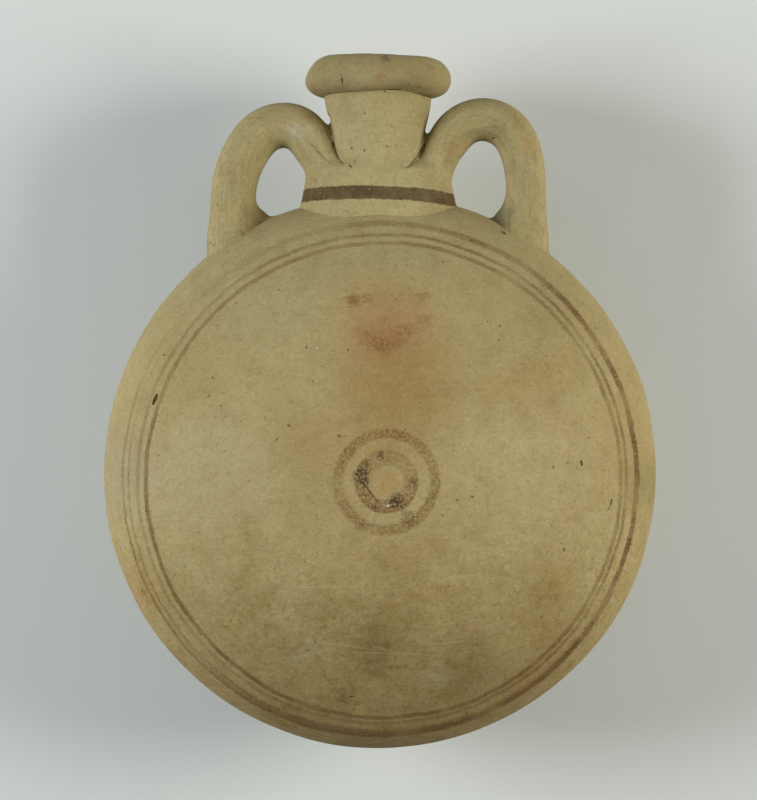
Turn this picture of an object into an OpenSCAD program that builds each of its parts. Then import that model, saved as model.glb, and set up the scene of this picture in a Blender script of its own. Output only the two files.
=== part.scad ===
// Pilgrim flask of marl clay, lying on its back with the painted front up.
// The origin is the middle of the flat spot it rests on. The neck points along +Y.

/* [Body] */
// Diameter of the body, seen from the front
body_d = 151.5; // [140:1:165]
// Height of the front dome above the seam
front_h = 44; // [40:0.5:48]
// Height of the back dome below the seam, before its middle is flattened
back_h = 43; // [40:0.5:48]
// Depth that is flattened off the middle of the back
rest_cut = 3; // [2:0.25:4]
// Radius of the body's rounded edge
edge_r = 24; // [18:0.5:28]
// Thickness of the body's wall
wall = 5.5; // [4:0.25:7]

/* [Seam and plug] */
// Thickness of the clay strip that is pressed over the seam from inside
luting_t = 2; // [1:0.25:3]
// Width of that strip, front to back
luting_w = 14; // [8:1:20]
// Diameter of the plug that closes the middle of the front
plug_d = 8.6; // [6:0.2:12]
// Width of the rim that the plug is smeared out to on the inside
plug_smear = 3; // [1.5:0.25:5]
// Thickness of that smeared rim
plug_smear_t = 1.6; // [1:0.2:3]
// Sideways distance from the body's axis to the plug, towards the right handle
plug_x = 1.7; // [0:0.1:3]
// Distance from the body's axis to the plug, away from the neck
plug_y = 1.7; // [0:0.1:3]

/* [Neck] */
// Diameter of the throat
throat_d = 16.5; // [13:0.25:19]
// Outer diameter of the neck where it leaves the collar
neck_base_d = 23.6; // [22:0.2:26]
// Outer diameter of the neck under the rim
neck_top_d = 29; // [26:0.5:32]
// Length of the neck that shows between the collar and the rim
neck_len = 19.6; // [14:0.2:26]
// Length of the neck's foot that reaches into the body, past the wall
neck_foot = 2.5; // [1:0.25:5]
// How far the neck sits off the body's axis, towards the left handle
neck_shift = 0.6; // [0:0.1:1.5]

/* [Rim] */
// Outer diameter of the rolled rim
rim_d = 40; // [36:0.5:46]
// Thickness of the roll
roll_d = 12; // [9:0.25:13]

/* [Collar] */
// Height of the collar's top above the body's edge
collar_rise = 8.5; // [5:0.1:12]
// Width of the collar at its top, seen from the front
collar_w = 38.8; // [34:0.2:44]
// Depth of the collar at its top, front to back
collar_t = 26; // [24.5:0.25:30]
// How much the collar widens on each side down to the body's edge
collar_flare = 1.6; // [0:0.1:3]

/* [Handles] */
// Width of both straps, front to back
strap_w = 16; // [13:0.25:20]
// How far each strap's foot spreads towards the neck
foot_in = 4; // [0:0.25:6]
// How far each strap's foot spreads outwards
foot_out = 1; // [0:0.25:3]
// Height over which the foot spreads
foot_h = 12; // [6:0.5:14]

/* [Left handle] */
// Thickness of the strap, seen from the front
left_t = 12.4; // [10:0.1:14]
// Height of the loop's outer top above the body's edge
left_rise = 25.5; // [22:0.1:30]
// Sideways distance from the neck's axis to the top of the loop
left_top_x = 26.4; // [25:0.1:28]
// Sideways distance from the neck's axis to the middle of the leg
left_leg_x = 40.5; // [38.5:0.1:44]
// Inside radius of the loop on the leg's side
left_outer_bend = 4.1; // [2:0.1:5]
// Inside radius of the loop on the neck's side
left_inner_bend = 2; // [1:0.1:4]
// Angle that the strap turns before it eases into the leg
left_turn = 50; // [35:1:60]
// Steepness of the strap where it comes down to the collar
left_dive = 55; // [45:1:70]

/* [Right handle] */
// Thickness of the strap, seen from the front
right_t = 11.8; // [10:0.1:14]
// Height of the loop's outer top above the body's edge
right_rise = 27.1; // [23:0.1:31]
// Sideways distance from the neck's axis to the top of the loop
right_top_x = 28.3; // [27:0.1:29]
// Sideways distance from the neck's axis to the middle of the leg
right_leg_x = 39.6; // [39:0.1:43]
// Inside radius of the loop on the leg's side
right_outer_bend = 3.9; // [2:0.1:4.5]
// Inside radius of the loop on the neck's side
right_inner_bend = 4.1; // [2:0.1:6]
// Angle that the strap turns before it eases into the leg
right_turn = 65; // [50:1:70]
// Steepness of the strap where it comes down to the collar
right_dive = 60; // [50:1:70]

/* [Hidden] */
$fn = 128;

// Clay tones
clay_front = "#A39364";
clay_back = "#9B8B60";
clay_neck = "#A89A6C";
clay_collar = "#9F9063";
clay_handle = "#978B61";
clay_inside = "#8C7B52";
clay_plug = "#A98F62";

// Heights above the flat spot, and distances from the body's axis along the neck
body_r = body_d / 2;
edge_c = body_r - edge_r;
seam_z = back_h - rest_cut;
neck_foot_y = body_r - wall - neck_foot;
collar_top_y = body_r + collar_rise;
rim_base_y = collar_top_y + neck_len;
rim_r = rim_d / 2;
roll_r = roll_d / 2;
throat_r = throat_d / 2;
neck_base_r = neck_base_d / 2;
neck_top_r = neck_top_d / 2;
// The roll sinks this share of its thickness over the end of the neck
roll_over = 0.2;
roll_y = rim_base_y + roll_r - roll_over * roll_d;
// Cuts reach this far past what they cut
past = 1;
// Depth to which a strap's foot is carried below the body's edge before it is trimmed
strap_sink = 10;
// Sides of a strap, and rings along its leg and along each bend
strap_sides = 24;
leg_rings = 5;
bend_rings = 9;

// Radius of the big arc of a dome that is h high and meets the rounded edge smoothly
function face_r(h) = (edge_c ^ 2 + h ^ 2 - edge_r ^ 2) / (2 * (h - edge_r));

// Half section of a dome h high, drawn inset inside its surface, with its axis on the left
module dome_section(h, inset) {
    big = face_r(h);
    reach = 2 * big;
    intersection() {
        union() {
            translate([edge_c, 0]) circle(edge_r - inset);
            intersection() {
                translate([0, h - big]) circle(big - inset);
                // Wedge between the axis and the line through both arcs' middles
                polygon([[0, h - big], [reach * edge_c / (big - h), h - big + reach],
                         [0, h - big + reach]]);
            }
        }
        square([body_r + past, h + past]);
    }
}

// Half section of a bowl's wall. floor_cut is how much of the dome's middle is flattened.
module wall_section(h, floor_cut) {
    difference() {
        intersection() {
            dome_section(h, 0);
            square([body_r + past, h - floor_cut]);
        }
        intersection() {
            dome_section(h, wall);
            translate([-past, -past]) square([body_r + 2 * past, h - floor_cut - wall + past]);
        }
    }
}

// Solid of the body as if it were not hollow, used to trim what sits on it
module body_solid() {
    translate([0, 0, seam_z]) {
        rotate_extrude() dome_section(front_h, 0);
        mirror([0, 0, 1]) rotate_extrude() dome_section(back_h, 0);
    }
}

// Puts a shape drawn along +Z onto the neck's axis, which runs along +Y in the seam's plane
module on_neck_axis() {
    translate([-neck_shift, 0, seam_z]) rotate([-90, 0, 0]) children();
}

// Outside of the neck, longer at its lower end than the neck is
module neck_outside() {
    on_neck_axis() {
        translate([0, 0, neck_foot_y]) cylinder(h = collar_top_y - neck_foot_y, r = neck_base_r);
        translate([0, 0, collar_top_y]) cylinder(h = neck_len, r1 = neck_base_r, r2 = neck_top_r);
    }
}

// Upright cylinder of the plug, through the front dome
module plug_hole() {
    translate([plug_x, -plug_y, seam_z]) cylinder(h = front_h + past, r = plug_d / 2);
}

module front_bowl() {
    color(clay_front)
    difference() {
        translate([0, 0, seam_z]) rotate_extrude() wall_section(front_h, 0);
        neck_outside();
        plug_hole();
    }
}

module back_bowl() {
    color(clay_back)
    difference() {
        translate([0, 0, seam_z]) mirror([0, 0, 1]) rotate_extrude() wall_section(back_h, rest_cut);
        neck_outside();
    }
}

// Strip of clay that bridges the seam on the inside
module seam_luting() {
    color(clay_inside)
    difference() {
        translate([0, 0, seam_z]) rotate_extrude()
            intersection() {
                difference() {
                    translate([edge_c, 0]) circle(edge_r - wall);
                    translate([edge_c, 0]) circle(edge_r - wall - luting_t);
                }
                translate([edge_c, -luting_w / 2]) square([edge_r, luting_w]);
            }
        neck_outside();
    }
}

// Plug that closes the middle of the front, with its rim smeared over the wall inside
module closing_plug() {
    color(clay_plug)
    intersection() {
        union() {
            plug_hole();
            translate([plug_x, -plug_y, seam_z]) intersection() {
                cylinder(h = front_h, r = plug_d / 2 + plug_smear);
                translate([-plug_x, plug_y, 0]) rotate_extrude() dome_section(front_h, wall);
            }
        }
        translate([0, 0, seam_z]) rotate_extrude() difference() {
            dome_section(front_h, 0);
            dome_section(front_h, wall + plug_smear_t);
        }
    }
}

module neck() {
    color(clay_neck)
    difference() {
        neck_outside();
        on_neck_axis() translate([0, 0, neck_foot_y - past])
            cylinder(h = rim_base_y - neck_foot_y + 2 * past, r = throat_r);
    }
}

// The rolled rim: a ring of round section that hangs over the neck's end, on a short sleeve
module rim_roll() {
    roll_c = rim_r - roll_r;
    color(clay_neck)
    on_neck_axis() rotate_extrude() difference() {
        union() {
            translate([roll_c, roll_y]) circle(roll_r);
            translate([throat_r, rim_base_y]) square([roll_c - throat_r, roll_y - rim_base_y]);
        }
        translate([0, rim_base_y - roll_d]) square([throat_r, 2 * roll_d + past]);
        polygon([[0, collar_top_y], [neck_base_r, collar_top_y], [neck_top_r, rim_base_y],
                 [0, rim_base_y]]);
    }
}

// Oval block of the collar: two cones side by side with a wedge between them
module collar_block() {
    spread = (collar_w - collar_t) / 2;
    top_r = collar_t / 2;
    foot_y = neck_foot_y;
    foot_r = top_r + collar_flare * (collar_top_y - foot_y) / collar_rise;
    on_neck_axis() {
        for (side = [-1, 1])
            translate([side * spread, 0, foot_y])
                cylinder(h = collar_top_y - foot_y, r1 = foot_r, r2 = top_r);
        translate([-spread, 0, 0]) rotate([90, 0, 90])
            linear_extrude(2 * spread)
            polygon([[-foot_r, foot_y], [foot_r, foot_y], [top_r, collar_top_y],
                     [-top_r, collar_top_y]]);
    }
}

module neck_collar() {
    color(clay_collar)
    difference() {
        collar_block();
        body_solid();
        neck_outside();
    }
}

// Rings of a bend about c from angle a0 to a1, each [x, y, outward angle, half thickness]
function bend(c, r, a0, a1, half_t) =
    [for (i = [1:bend_rings]) let (a = a0 + (a1 - a0) * i / bend_rings)
        [c[0] + r * cos(a), c[1] + r * sin(a), a, half_t]];

// One ring of the leg at height y. Its foot spreads over foot_h above the body's edge at edge_y.
function leg_ring(x, y, edge_y, half_t) =
    let (spread = max(0, min(1, 1 - (y - edge_y) / foot_h)) ^ 2)
    [x + (foot_out - foot_in) / 2 * spread, y, 0, half_t + (foot_out + foot_in) / 2 * spread];

// Rings of the leg, from inside the body up to where the loop starts to bend
function leg(x, edge_y, top_y, half_t) =
    [leg_ring(x, edge_y - strap_sink, edge_y, half_t),
     for (i = [0:leg_rings]) leg_ring(x, edge_y + (top_y - edge_y) * i / leg_rings, edge_y, half_t)];

// Points of one ring of the strap, an oval strap_w deep, in a plane square to the strap
function strap_ring(ring) =
    [for (i = [0:strap_sides - 1]) let (u = 360 * i / strap_sides)
        [ring[0] + ring[3] * cos(u) * cos(ring[2]), ring[1] + ring[3] * cos(u) * sin(ring[2]),
         strap_w / 2 * sin(u)]];

// Closed solid through a row of rings, all faces triangles
module strap(rings) {
    n = strap_sides;
    last = len(rings) - 1;
    points = [for (ring = rings) each strap_ring(ring)];
    faces = concat(
        [for (k = [0:last - 1]) for (i = [0:n - 1]) let (j = (i + 1) % n)
            each [[k * n + i, (k + 1) * n + i, (k + 1) * n + j],
                  [k * n + i, (k + 1) * n + j, k * n + j]]],
        [for (i = [1:n - 2]) [0, i, i + 1]],
        [for (i = [1:n - 2]) [last * n, last * n + i + 1, last * n + i]]);
    polyhedron(points, faces);
}

// A loop on the right side. The leg eases out of the top bend through a wider bend.
module strap_loop(t, rise, top_x, leg_x, outer_bend, inner_bend, turn, dive) {
    half_t = t / 2;
    top_y = body_r + rise - half_t;
    outer_r = outer_bend + half_t;
    inner_r = inner_bend + half_t;
    leg_r = (leg_x - top_x - outer_r * sin(turn)) / (1 - sin(turn));
    leg_top_y = top_y - outer_r + (outer_r - leg_r) * cos(turn);
    leg_edge_y = sqrt(body_r ^ 2 - leg_x ^ 2);
    dive_x = top_x - inner_r * sin(dive);
    dive_y = top_y - inner_r * (1 - cos(dive));
    // The strap ends inside the collar, half its thickness below the collar's top
    end_y = collar_top_y - half_t;
    end_x = dive_x - (dive_y - end_y) / tan(dive);
    translate([0, 0, seam_z])
        strap(concat(leg(leg_x, leg_edge_y, leg_top_y, half_t),
                     bend([leg_x - leg_r, leg_top_y], leg_r, 0, 90 - turn, half_t),
                     bend([top_x, top_y - outer_r], outer_r, 90 - turn, 90, half_t),
                     bend([top_x, top_y - inner_r], inner_r, 90, 90 + dive, half_t),
                     [[end_x, end_y, 90 + dive, half_t]]));
}

module trimmed_handle() {
    color(clay_handle)
    difference() {
        children();
        body_solid();
        collar_block();
        neck_outside();
    }
}

module left_handle() {
    trimmed_handle() mirror([1, 0, 0])
        strap_loop(left_t, left_rise, left_top_x, left_leg_x, left_outer_bend, left_inner_bend,
                   left_turn, left_dive);
}

module right_handle() {
    trimmed_handle()
        strap_loop(right_t, right_rise, right_top_x, right_leg_x, right_outer_bend,
                   right_inner_bend, right_turn, right_dive);
}

front_bowl();
back_bowl();
seam_luting();
closing_plug();
neck();
rim_roll();
neck_collar();
left_handle();
right_handle();
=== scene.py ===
import math
import bpy
from mathutils import Matrix, Vector


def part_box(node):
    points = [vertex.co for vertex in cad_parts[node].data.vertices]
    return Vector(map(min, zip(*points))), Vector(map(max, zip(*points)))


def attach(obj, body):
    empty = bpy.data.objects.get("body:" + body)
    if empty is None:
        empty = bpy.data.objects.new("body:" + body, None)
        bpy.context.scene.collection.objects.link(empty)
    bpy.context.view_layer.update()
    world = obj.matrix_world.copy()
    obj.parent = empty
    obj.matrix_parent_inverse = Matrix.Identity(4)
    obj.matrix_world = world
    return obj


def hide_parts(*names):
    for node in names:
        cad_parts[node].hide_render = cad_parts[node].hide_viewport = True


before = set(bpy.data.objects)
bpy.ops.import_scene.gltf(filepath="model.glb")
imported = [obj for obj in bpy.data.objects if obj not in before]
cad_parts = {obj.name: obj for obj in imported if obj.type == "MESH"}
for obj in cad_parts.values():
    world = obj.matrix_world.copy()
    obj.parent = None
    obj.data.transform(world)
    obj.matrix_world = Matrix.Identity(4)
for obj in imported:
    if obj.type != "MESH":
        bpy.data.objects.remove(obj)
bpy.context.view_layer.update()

# Sizes are in metres. They follow the CAD frame: +Z up through the painted front, +Y along the neck.
MM = 0.001
front_low, front_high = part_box("front_bowl")
rim_low, rim_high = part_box("rim_roll")
neck_low, neck_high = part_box("neck")
BODY_R = (front_high[0] - front_low[0]) / 2
SEAM_Z = front_low[2]
FRONT_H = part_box("closing_plug")[1][2] - SEAM_Z
NECK_X = (rim_low[0] + rim_high[0]) / 2
RIM_R = (rim_high[0] - rim_low[0]) / 2
RIM_TOP = rim_high[1]
NECK_TOP_R = (neck_high[0] - neck_low[0]) / 2
NECK_FOOT_Y = neck_low[1]
RIM_BASE_Y = neck_high[1]
COLLAR_TOP_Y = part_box("neck_collar")[1][1]
REST_CUT = 3 * MM
BACK_H = SEAM_Z + REST_CUT
EDGE_R = 24 * MM
WALL = 5.5 * MM
NECK_BASE_R = 11.8 * MM
THROAT_R = 8.25 * MM
ROLL_R = 6 * MM
ROLL_UNDER = 0.78 * ROLL_R
ROLL_Y = RIM_TOP - ROLL_R
PLUG_R = 4.3 * MM
PLUG_X = 1.7 * MM
PLUG_Y = -1.7 * MM
PLUG_SMEAR = 3 * MM
PLUG_SMEAR_T = 1.6 * MM
COLLAR_R = 13 * MM
COLLAR_SPREAD = 6.4 * MM
COLLAR_FLARE = 1.6 * MM
COLLAR_RISE = 8.5 * MM
STRAP_W = 16 * MM
# How finely the clay of the shoulder is worked, before and after its creases
CLAY_GRAIN = 0.5 * MM
FINE_GRAIN = 0.45 * MM

# The photograph is 757 by 800 pixels. The body's middle lies at this pixel, at this scale.
PHOTO_W, PHOTO_H = 757, 800
BODY_PX = (380.1, 471.9)
PX = 0.27457 * MM
CAMERA_HEIGHT = 1.0


def pixel_to_xy(px, py, height=SEAM_Z):
    """The place seen at a pixel of the photograph, at a height above the floor."""
    cam_x = (PHOTO_W / 2 - BODY_PX[0]) * PX
    cam_y = (BODY_PX[1] - PHOTO_H / 2) * PX
    near = 1 - (height - SEAM_Z) / CAMERA_HEIGHT
    return cam_x + (px - PHOTO_W / 2) * PX * near, cam_y - (py - PHOTO_H / 2) * PX * near


# Camera, straight above as in the photograph
camera = bpy.data.objects.new("camera", bpy.data.cameras.new("camera"))
bpy.context.collection.objects.link(camera)
cam_x, cam_y = pixel_to_xy(PHOTO_W / 2, PHOTO_H / 2)
camera.location = (cam_x, cam_y, SEAM_Z + CAMERA_HEIGHT)
camera.data.sensor_fit = "VERTICAL"
camera.data.sensor_height = 24
camera.data.lens = 24 * CAMERA_HEIGHT / (PHOTO_H * PX)
camera.data.clip_start = 0.05
bpy.context.scene.camera = camera


# Modelling by hand
def pick(*pieces):
    bpy.ops.object.select_all(action="DESELECT")
    for piece in pieces:
        piece.select_set(True)
    bpy.context.view_layer.objects.active = pieces[0]


def start_at(name, place):
    """A new piece that is one selected point, left in edit mode."""
    bpy.ops.object.select_all(action="DESELECT")
    bpy.ops.mesh.primitive_plane_add(size=MM, location=(0, 0, 0))
    piece = bpy.context.object
    piece.name = piece.data.name = name
    bpy.ops.object.mode_set(mode="EDIT")
    bpy.ops.mesh.select_mode(type="VERT")
    bpy.ops.mesh.select_all(action="SELECT")
    bpy.ops.mesh.merge(type="CENTER")
    bpy.ops.mesh.select_all(action="SELECT")
    bpy.ops.transform.translate(value=place)
    return piece


def draw_on(points, start):
    """Extrudes the selected point through a row of places."""
    here = Vector(start)
    for point in points:
        step = Vector(point) - here
        bpy.ops.mesh.extrude_region_move(TRANSFORM_OT_translate={"value": step})
        here = Vector(point)


def turned(name, profile, steps, centre=(0, 0, 0), axis=(0, 0, 1), closed=False):
    """A thrown form: a profile of 3-D places spun about an axis."""
    piece = start_at(name, profile[0])
    draw_on(profile[1:] + (profile[:1] if closed else []), profile[0])
    bpy.ops.mesh.select_all(action="SELECT")
    bpy.ops.mesh.remove_doubles(threshold=0.01 * MM)
    bpy.ops.mesh.select_all(action="SELECT")
    bpy.ops.mesh.spin(steps=steps, angle=math.tau, center=centre, axis=axis)
    bpy.ops.mesh.select_all(action="SELECT")
    bpy.ops.mesh.remove_doubles(threshold=0.01 * MM)
    bpy.ops.mesh.normals_make_consistent(inside=False)
    bpy.ops.object.mode_set(mode="OBJECT")
    return piece


def apply_modifier(piece, kind, **settings):
    pick(piece)
    modifier = piece.modifiers.new(kind.lower(), kind)
    for key, value in settings.items():
        setattr(modifier, key, value)
    bpy.ops.object.modifier_apply(modifier=modifier.name)


def cut(piece, cutter, operation="DIFFERENCE", keep=False, solver="MANIFOLD"):
    apply_modifier(piece, "BOOLEAN", object=cutter, operation=operation, solver=solver)
    if not keep:
        bpy.data.objects.remove(cutter)


def copy_of(piece, name):
    pick(piece)
    bpy.ops.object.duplicate()
    twin = bpy.context.object
    twin.name = twin.data.name = name
    return twin


def joined(pieces, name):
    pick(*pieces)
    bpy.ops.object.join()
    whole = bpy.context.object
    whole.name = whole.data.name = name
    return whole


def keep_largest(piece):
    """Drops the crumbs that a cut left loose beside a piece."""
    pick(piece)
    bpy.ops.mesh.separate(type="LOOSE")
    parts = sorted(bpy.context.selected_objects, key=lambda part: len(part.data.vertices))
    for crumb in parts[:-1]:
        bpy.data.objects.remove(crumb)
    return parts[-1]


def arc(cx, cy, r, a0, a1, n):
    """Points (across, up) of an arc, both ends included, angles in degrees."""
    return [(cx + r * math.cos(math.radians(a0 + (a1 - a0) * i / n)),
             cy + r * math.sin(math.radians(a0 + (a1 - a0) * i / n))) for i in range(n + 1)]


def dome_arcs(h, inset, n_face, n_edge):
    """Half section of a dome h high, from its top to the seam, as (distance from axis, height)."""
    edge_c = BODY_R - EDGE_R
    big = (edge_c ** 2 + h ** 2 - EDGE_R ** 2) / (2 * (h - EDGE_R))
    meet = math.degrees(math.atan2(big - h, edge_c))
    face = arc(0, h - big, big - inset, 90, meet, n_face)
    edge = arc(edge_c, 0, EDGE_R - inset, meet, 0, n_edge)
    return face + edge[1:]


def dome_height(x, y, h=FRONT_H):
    """Height of the front dome's surface above the floor at a place."""
    edge_c = BODY_R - EDGE_R
    big = (edge_c ** 2 + h ** 2 - EDGE_R ** 2) / (2 * (h - EDGE_R))
    r = min(math.hypot(x, y), BODY_R - 0.01 * MM)
    if r <= big * edge_c / (big - EDGE_R):
        return SEAM_Z + h - big + math.sqrt(big ** 2 - r ** 2)
    return SEAM_Z + math.sqrt(EDGE_R ** 2 - (r - edge_c) ** 2)


def on_neck(profile):
    """Places of a profile given as (distance from the neck's axis, y)."""
    return [(NECK_X + r, y, SEAM_Z) for r, y in profile]


def turned_on_neck(name, profile, steps=128, closed=True):
    return turned(name, on_neck(profile), steps, (NECK_X, 0, SEAM_Z), (0, 1, 0), closed)


def bowl_wall(name, h, side, flat, steps=256):
    """One moulded half of the body. side is 1 for the front and -1 for the back."""
    outer = [(r, z) for r, z in dome_arcs(h, 0, 44, 20) if z < h - flat - 0.001 * MM]
    inner = [(r, z) for r, z in dome_arcs(h, WALL, 30, 14) if z < h - flat - WALL - 0.001 * MM]
    rings = 10 if flat else 1
    for wall, top in ((outer, h - flat), (inner, h - flat - WALL)):
        edge_r, edge_z = wall[0]
        wall[:0] = [(edge_r * i / rings, top + (edge_z - top) * i / rings) for i in range(rings)]
    profile = [(r, 0, SEAM_Z + side * z) for r, z in outer + inner[::-1]]
    return turned(name, profile, steps)


def body_block(name, grow=0.0):
    """The body as if it were not hollow, to trim what sits on it."""
    front = [(r + grow, 0, SEAM_Z + z + grow) for r, z in dome_arcs(FRONT_H, 0, 44, 20)]
    back = [(r + grow, 0, SEAM_Z - z - grow) for r, z in dome_arcs(BACK_H, 0, 44, 20)]
    front[0] = (0, 0, front[0][2])
    back[0] = (0, 0, back[0][2])
    return turned(name, front + back[-2::-1], 256)


def neck_block(name, top=0.0):
    """The neck as if it were not hollow, carried on by top past its end."""
    end_r = NECK_TOP_R + top * (NECK_TOP_R - NECK_BASE_R) / (RIM_BASE_Y - COLLAR_TOP_Y)
    return turned_on_neck(name, [(0, NECK_FOOT_Y), (NECK_BASE_R, NECK_FOOT_Y),
                                 (NECK_BASE_R, COLLAR_TOP_Y), (end_r, RIM_BASE_Y + top),
                                 (0, RIM_BASE_Y + top)], closed=False)


def collar_block(name, grow=0.0):
    """Oval block of the collar: a cone pulled apart along x."""
    top_r = COLLAR_R + grow
    foot_r = top_r + COLLAR_FLARE * (COLLAR_TOP_Y - NECK_FOOT_Y) / COLLAR_RISE
    bpy.ops.object.select_all(action="DESELECT")
    bpy.ops.mesh.primitive_cone_add(
        vertices=96, radius1=foot_r, radius2=top_r, depth=COLLAR_TOP_Y - NECK_FOOT_Y,
        location=(NECK_X, (COLLAR_TOP_Y + NECK_FOOT_Y) / 2, SEAM_Z), rotation=(-math.pi / 2, 0, 0))
    block = bpy.context.object
    block.name = block.data.name = name
    bpy.ops.object.transform_apply(location=True, rotation=True, scale=True)
    for side in (-1, 1):
        select_where(block, lambda co: side * (co.x - NECK_X) > 0.01 * MM)
        bpy.ops.transform.translate(value=(side * COLLAR_SPREAD, 0, 0))
        bpy.ops.object.mode_set(mode="OBJECT")
    return block


def select_where(piece, test):
    """Picks the vertices that pass a test, and leaves the piece in edit mode."""
    pick(piece)
    bpy.ops.object.mode_set(mode="EDIT")
    bpy.ops.mesh.select_mode(type="VERT")
    bpy.ops.mesh.select_all(action="DESELECT")
    bpy.ops.object.mode_set(mode="OBJECT")
    for vertex in piece.data.vertices:
        vertex.select = bool(test(vertex.co))
    bpy.ops.object.mode_set(mode="EDIT")


def block_between(name, low, high):
    """A plain box, used as a cutter."""
    bpy.ops.object.select_all(action="DESELECT")
    middle = [(a + b) / 2 for a, b in zip(low, high)]
    bpy.ops.mesh.primitive_cube_add(size=1, location=middle)
    box = bpy.context.object
    box.name = box.data.name = name
    box.scale = [b - a for a, b in zip(low, high)]
    bpy.ops.object.transform_apply(location=True, rotation=True, scale=True)
    return box


def surface_at(piece, px, py):
    """Place and outward direction of the surface that the photograph shows at a pixel."""
    x, y = pixel_to_xy(px, py, SEAM_Z + 12 * MM)
    for turn in range(3):
        found, place, normal, face = piece.ray_cast((x, y, 0.2), (0, 0, -1))
        if not found:
            return None
        x, y = pixel_to_xy(px, py, place.z)
    return place, normal


def pull(piece, place, move, radius):
    """Moves the surface near a place, less and less towards a radius."""
    nearest = min(piece.data.vertices, key=lambda v: (v.co - Vector(place)).length_squared).co.copy()
    select_where(piece, lambda co: (co - nearest).length < 0.001 * MM)
    bpy.ops.transform.translate(
        value=move, use_proportional_edit=True, proportional_edit_falloff="SMOOTH",
        proportional_size=radius, use_proportional_connected=True)
    bpy.ops.object.mode_set(mode="OBJECT")


def press(piece, px, py, radius, depth):
    """A fingertip's dent, or a swelling where depth is negative."""
    place, normal = surface_at(piece, px, py)
    pull(piece, place, -normal * depth, radius)


def crease(piece, pixels, radii, sink=0.3):
    """A thin tube along a row of pixels on the piece, to cut a crease or scratch with."""
    places = []
    for (px, py), radius in zip(pixels, radii):
        found = surface_at(piece, px, py)
        if found:
            places.append(found[0] - found[1] * (sink * radius * MM))
    tube = start_at("crease", places[0])
    draw_on(places[1:], places[0])
    bpy.ops.object.mode_set(mode="OBJECT")
    bpy.ops.object.convert(target="CURVE")
    tube = bpy.context.object
    tube.data.bevel_depth = MM
    tube.data.bevel_resolution = 2
    tube.data.use_fill_caps = True
    for point, radius in zip(tube.data.splines[0].points, radii):
        point.radius = radius
    bpy.ops.object.convert(target="MESH")
    tube = bpy.context.object
    bpy.ops.object.mode_set(mode="EDIT")
    bpy.ops.mesh.select_all(action="SELECT")
    bpy.ops.mesh.remove_doubles(threshold=0.005 * MM)
    bpy.ops.mesh.normals_make_consistent(inside=False)
    bpy.ops.object.mode_set(mode="OBJECT")
    return tube


def pit(piece, px, py, length, width, depth, angle=0.0):
    """A small lens-shaped cutter on the surface, where a piece of chaff burnt out. Sizes in mm."""
    place, normal = surface_at(piece, px, py)
    bpy.ops.object.select_all(action="DESELECT")
    bpy.ops.mesh.primitive_ico_sphere_add(subdivisions=3, radius=1, location=(0, 0, 0))
    lens = bpy.context.object
    lens.scale = (length / 2 * MM, width / 2 * MM, depth * MM)
    lens.rotation_euler = (0, 0, math.radians(angle))
    bpy.ops.object.transform_apply(location=True, rotation=True, scale=True)
    lens.matrix_world = (Matrix.Translation(place)
                         @ Vector((0, 0, 1)).rotation_difference(normal).to_matrix().to_4x4())
    bpy.ops.object.transform_apply(location=True, rotation=True, scale=True)
    return lens


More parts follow.
